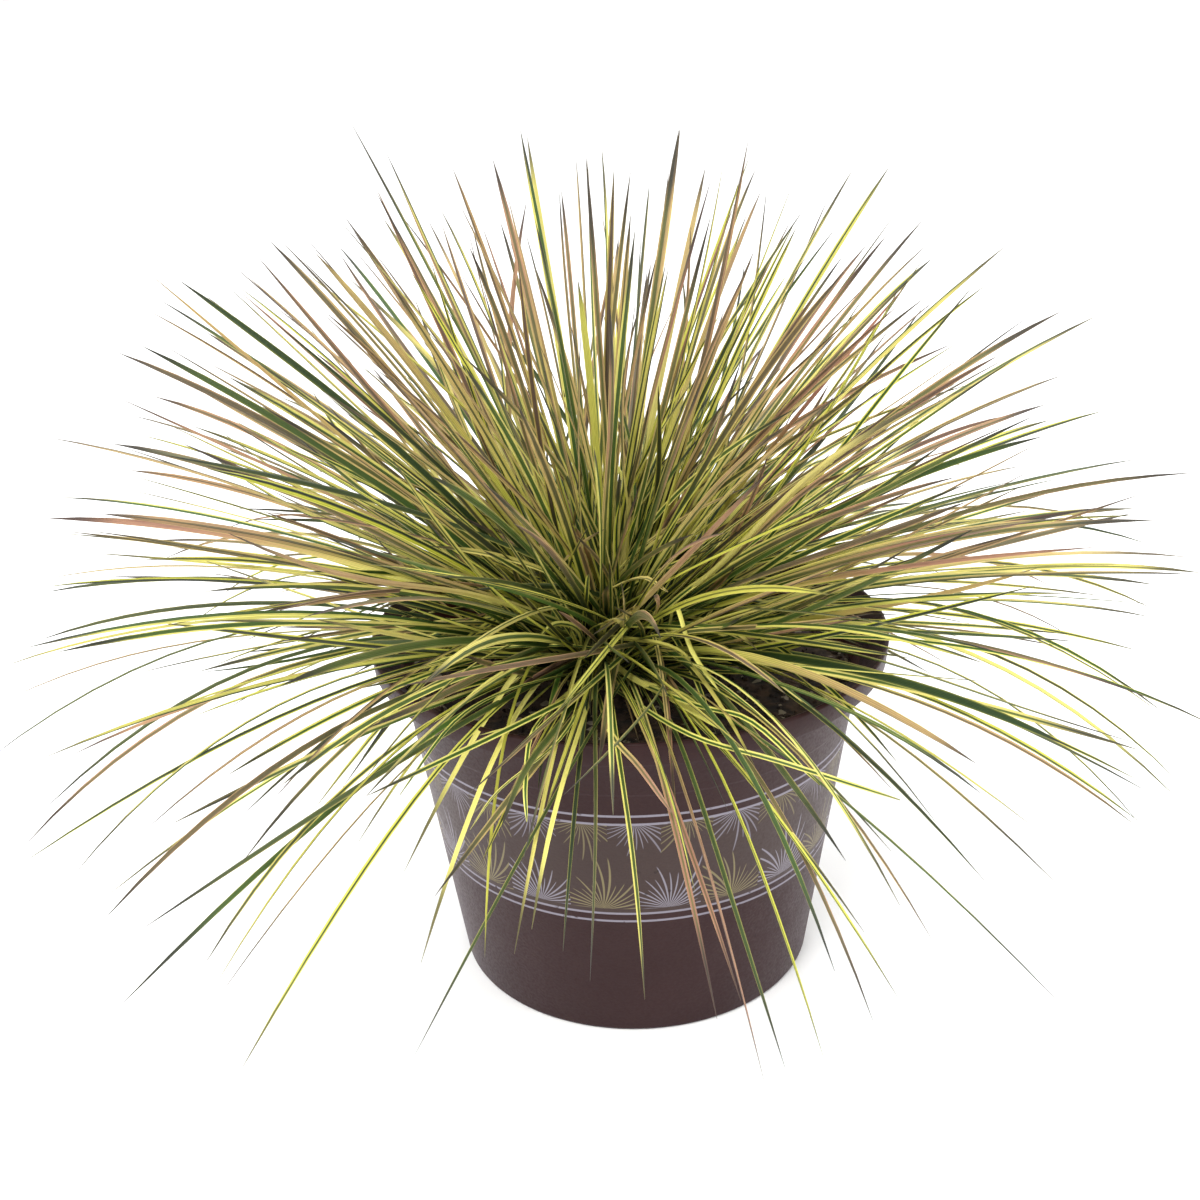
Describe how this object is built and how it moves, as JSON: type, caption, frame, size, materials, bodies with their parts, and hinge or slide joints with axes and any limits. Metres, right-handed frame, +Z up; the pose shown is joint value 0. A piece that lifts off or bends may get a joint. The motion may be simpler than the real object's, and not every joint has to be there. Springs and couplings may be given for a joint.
{
  "type": "potted tufted hair grass",
  "caption": "Tussock of narrow, folded, cream-edged green leaves fanning from a low crown in a tapered brown nursery pot filled with potting mix.",
  "frame": {"origin": "middle of the pot's flat underside, on the surface that the pot stands on", "axes": "+Z up along the pot's axis; -Y towards the side that the picture shows; +X to the picture's right"},
  "size_m": [0.4495, 0.4505, 0.3184],
  "materials": {
    "pot_plastic": "satin",
    "potting_mix": "matte",
    "crown": "matte",
    "leaf": "satin"
  },
  "bodies": {
    "root": {"pot": "pot_plastic", "soil": "potting_mix", "crown": "crown", "tiller_01": "leaf", "tiller_02": "leaf", "tiller_03": "leaf", "tiller_04": "leaf", "tiller_05": "leaf", "tiller_06": "leaf", "tiller_07": "leaf", "tiller_08": "leaf", "tiller_09": "leaf", "tiller_10": "leaf", "tiller_11": "leaf", "tiller_12": "leaf", "tiller_13": "leaf", "tiller_14": "leaf", "tiller_15": "leaf", "tiller_16": "leaf", "tiller_17": "leaf", "tiller_18": "leaf", "tiller_19": "leaf", "tiller_20": "leaf", "tiller_21": "leaf", "tiller_22": "leaf", "tiller_23": "leaf", "tiller_24": "leaf", "tiller_25": "leaf", "tiller_26": "leaf", "tiller_27": "leaf", "tiller_28": "leaf", "tiller_29": "leaf", "tiller_30": "leaf", "tiller_31": "leaf", "tiller_32": "leaf", "tiller_33": "leaf", "tiller_34": "leaf", "tiller_35": "leaf", "tiller_36": "leaf", "tiller_37": "leaf", "tiller_38": "leaf", "tiller_39": "leaf", "tiller_40": "leaf", "tiller_41": "leaf", "tiller_42": "leaf", "tiller_43": "leaf", "tiller_44": "leaf", "tiller_45": "leaf", "tiller_46": "leaf", "tiller_47": "leaf", "tiller_48": "leaf", "tiller_49": "leaf"}
  },
  "joints": []
}
